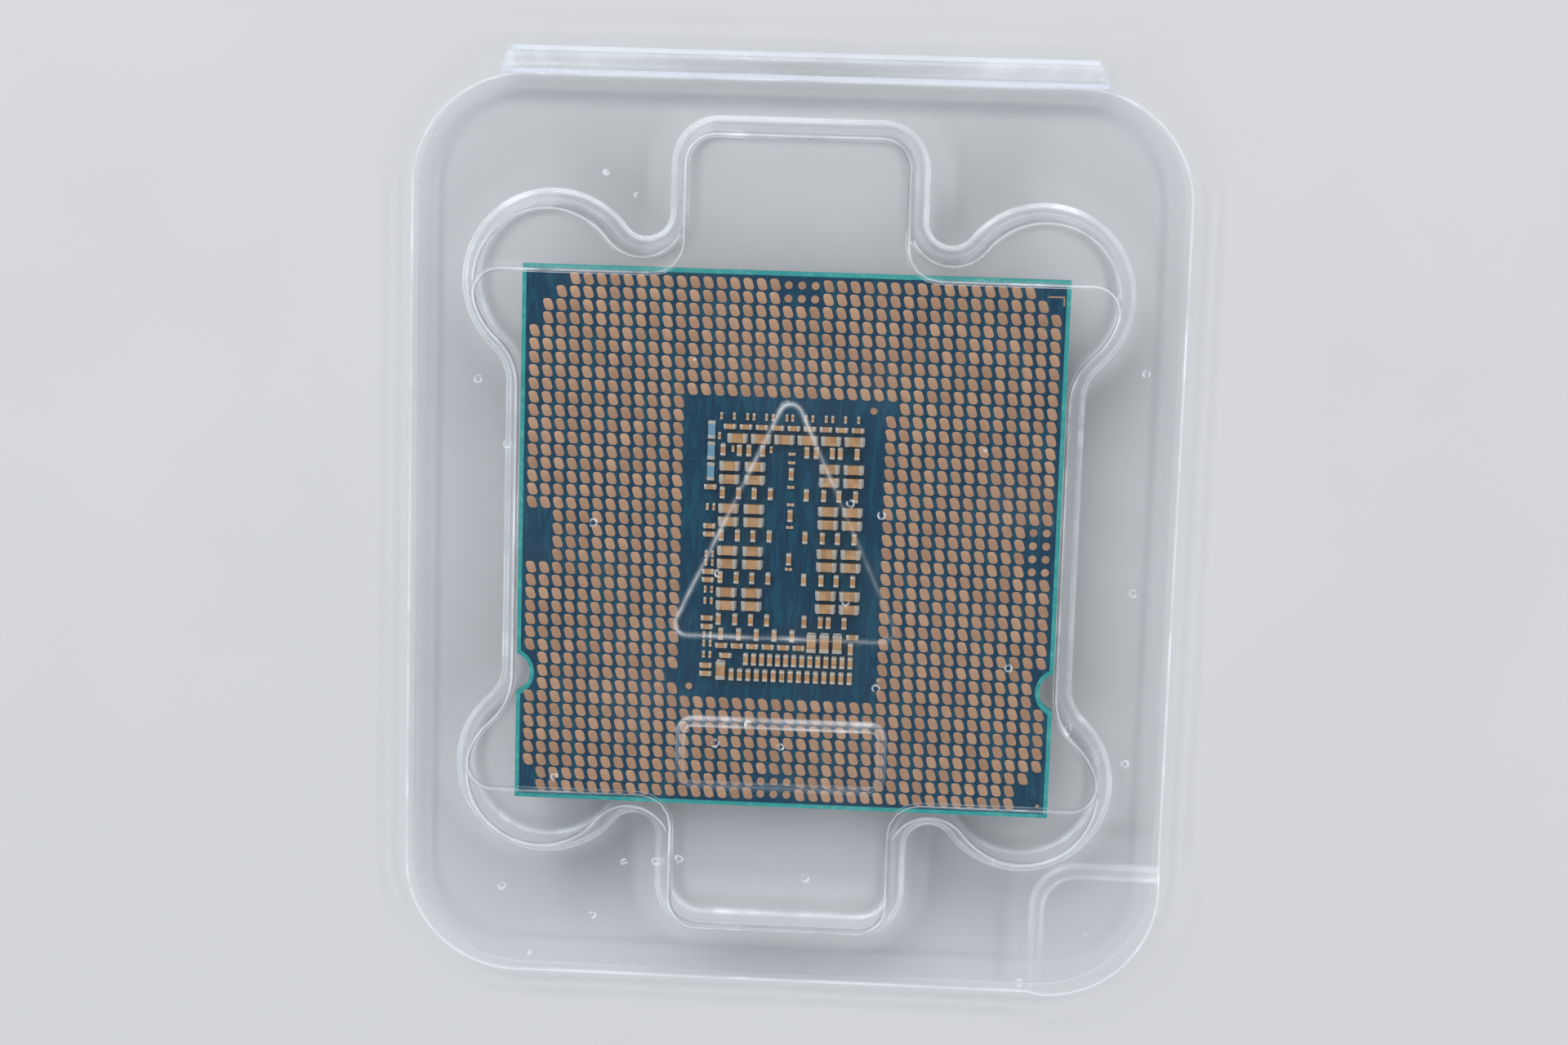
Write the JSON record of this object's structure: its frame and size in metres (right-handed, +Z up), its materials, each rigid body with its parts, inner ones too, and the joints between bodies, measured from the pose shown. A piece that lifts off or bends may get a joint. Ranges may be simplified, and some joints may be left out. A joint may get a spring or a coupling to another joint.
{
  "type": "boxed land grid array processor",
  "caption": "Square land grid array processor, land side up, with a nickel heat spreader below, lying in a clear hinged clamshell with corner lobes and finger slots.",
  "frame": {"origin": "bottom centre of the closed clamshell, on the surface it lies on", "axes": "+Z up, out of the land side; +Y towards the hinge; +X to the right seen from above"},
  "size_m": [0.0542, 0.0662, 0.0063],
  "materials": {
    "laminate": "teal green glass-epoxy laminate edge, satin",
    "solder_mask": "dark teal solder mask, semi-gloss",
    "land_gold": "gold-plated copper, satin",
    "capacitor_ceramic": "tan fired ceramic",
    "tinned_end": "tinned, satin",
    "resistor_body": "pale blue glaze",
    "silicon": "ground silicon",
    "soft_solder": "dull indium solder",
    "epoxy": "dark underfill epoxy",
    "nickel_plate": "nickel-plated copper, fine brushed satin",
    "sealant": "black silicone sealant",
    "clear_sheet": "clear thermoformed sheet, glossy"
  },
  "bodies": {
    "tray": {"substrate_core": "laminate", "buildup_land_side": "laminate", "buildup_die_side": "laminate", "solder_mask_land_side": "solder_mask", "solder_mask_die_side": "solder_mask", "lands_north": "land_gold", "lands_south": "land_gold", "lands_west": "land_gold", "lands_east": "land_gold", "test_points": "land_gold", "fiducials": "land_gold", "large_capacitor_bodies": "capacitor_ceramic", "large_capacitor_ends": "tinned_end", "small_capacitor_bodies": "capacitor_ceramic", "small_capacitor_ends": "tinned_end", "tiny_capacitor_bodies": "capacitor_ceramic", "tiny_capacitor_ends": "tinned_end", "resistor_bodies": "resistor_body", "resistor_ends": "tinned_end", "silicon_die": "silicon", "solder_thermal_interface": "soft_solder", "die_bumps": "soft_solder", "die_underfill": "epoxy", "pin_one_mark": "land_gold", "top_test_pads": "land_gold", "heat_spreader": "nickel_plate", "spreader_sealant": "sealant", "clamshell_tray": "clear_sheet", "hinge_bead_tray": "clear_sheet"},
    "lid": {"clamshell_lid": "clear_sheet", "hinge_bead_lid": "clear_sheet"}
  },
  "joints": [
    {"name": "lid_hinge", "type": "hinge", "parent": "tray", "child": "lid", "pos_m": [0, 0.03308, 0.00119], "axis": [-1, 0, 0], "range_deg": [0, 140]}
  ]
}
